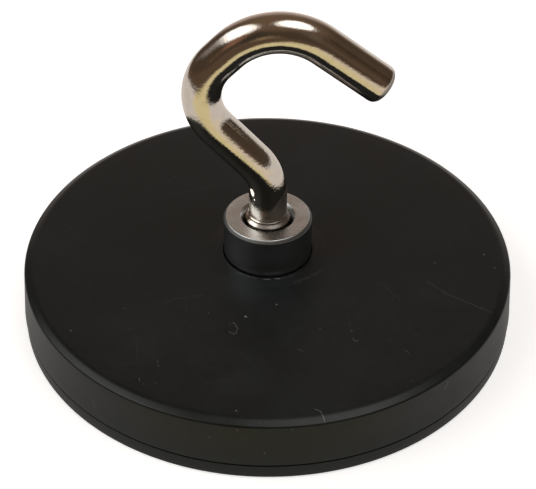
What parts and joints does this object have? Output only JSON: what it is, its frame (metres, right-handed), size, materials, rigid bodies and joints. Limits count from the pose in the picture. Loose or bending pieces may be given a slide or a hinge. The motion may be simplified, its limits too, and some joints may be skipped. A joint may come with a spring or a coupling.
{
  "type": "pot magnet",
  "caption": "Flat round rubber-covered magnet with a raised threaded steel boss and a bent round-bar hook screwed into it.",
  "frame": {"origin": "centre of the magnet face, where the part stands", "axes": "+Z out of the rubber back along the boss and the hook's shank; the hook is bent in the XZ plane with its free arm towards +X"},
  "size_m": [0.066, 0.066, 0.0438],
  "materials": {
    "pad_rubber": "matte moulded black rubber",
    "cover_rubber": "matte moulded black rubber, lightly scuffed and dusty",
    "plate_steel": "plain cold-rolled steel",
    "zinc_steel": "turned steel, zinc plated, fine turning marks",
    "polished_nickel": "bright nickel plate on bent wire",
    "magnet_nickel": "bright nickel plate"
  },
  "bodies": {
    "root": {"face_pad": "pad_rubber", "rubber_cover": "cover_rubber", "backing_plate": "plate_steel", "threaded_boss": "zinc_steel", "screw_hook": "polished_nickel", "magnet_outer_01": "magnet_nickel", "magnet_outer_02": "magnet_nickel", "magnet_outer_03": "magnet_nickel", "magnet_outer_04": "magnet_nickel", "magnet_outer_05": "magnet_nickel", "magnet_outer_06": "magnet_nickel", "magnet_outer_07": "magnet_nickel", "magnet_outer_08": "magnet_nickel", "magnet_outer_09": "magnet_nickel", "magnet_outer_10": "magnet_nickel", "magnet_outer_11": "magnet_nickel", "magnet_outer_12": "magnet_nickel", "magnet_inner_01": "magnet_nickel", "magnet_inner_02": "magnet_nickel", "magnet_inner_03": "magnet_nickel", "magnet_inner_04": "magnet_nickel", "magnet_inner_05": "magnet_nickel", "magnet_inner_06": "magnet_nickel"}
  },
  "joints": []
}
